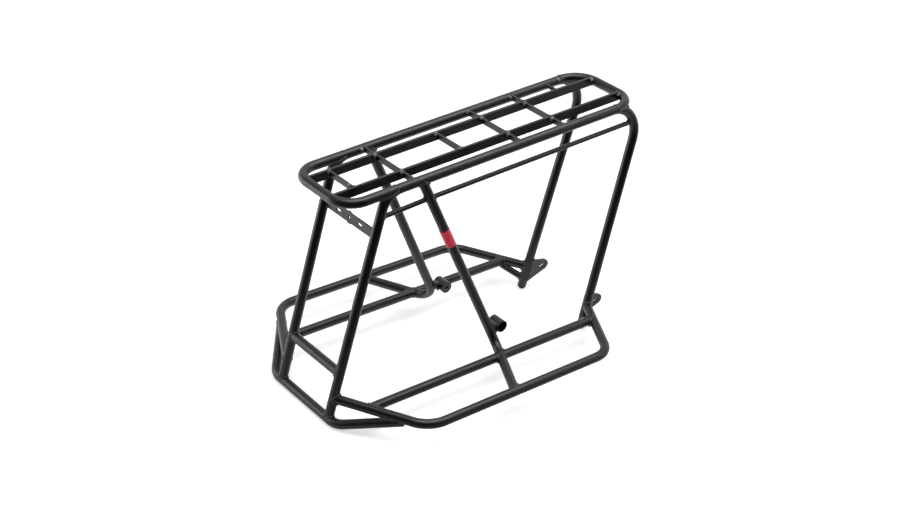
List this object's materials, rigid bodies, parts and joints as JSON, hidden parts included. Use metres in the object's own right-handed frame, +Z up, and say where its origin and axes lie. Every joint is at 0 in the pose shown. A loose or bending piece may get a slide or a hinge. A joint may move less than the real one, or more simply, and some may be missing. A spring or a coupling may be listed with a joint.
{
  "type": "bicycle rear rack",
  "caption": "Welded black tube rack for behind a bicycle seat, with a narrow top deck, bag-hook rods along its right side and low side platforms.",
  "frame": {"origin": "on the ground under the middle of the rack's outline", "axes": "+X forward along the bicycle, +Y to the bicycle's left, +Z up"},
  "size_m": [0.6283, 0.439, 0.422],
  "materials": {
    "frame": "satin",
    "foot_caps": "matte",
    "band": "gloss"
  },
  "bodies": {
    "root": {"left_side_hoop": "frame", "right_side_hoop": "frame", "rear_loop": "frame", "front_loop": "frame", "left_long_bar": "frame", "right_long_bar": "frame", "cross_bar_a": "frame", "cross_bar_b_left": "frame", "cross_bar_b_middle": "frame", "cross_bar_b_right": "frame", "cross_bar_c": "frame", "cross_bar_d_left": "frame", "cross_bar_d_middle": "frame", "cross_bar_d_right": "frame", "cross_bar_e_left": "frame", "cross_bar_e_middle": "frame", "cross_bar_e_right": "frame", "rail_stub": "frame", "left_mid_leg": "frame", "right_mid_leg": "frame", "right_rear_rod": "frame", "right_front_rod": "frame", "left_outer_rail": "frame", "right_outer_rail": "frame", "left_inner_rail_rear": "frame", "right_inner_rail_rear": "frame", "left_inner_rail_front": "frame", "right_inner_rail_front": "frame", "rear_cross_tube": "frame", "ground_bar": "frame", "light_bracket": "frame", "left_axle_boss": "frame", "right_axle_boss": "frame", "left_front_tab": "frame", "right_front_tab": "frame", "left_strut": "frame", "right_strut": "frame", "left_foot_cap": "foot_caps", "right_foot_cap": "foot_caps", "marking_band": "band"}
  },
  "joints": []
}
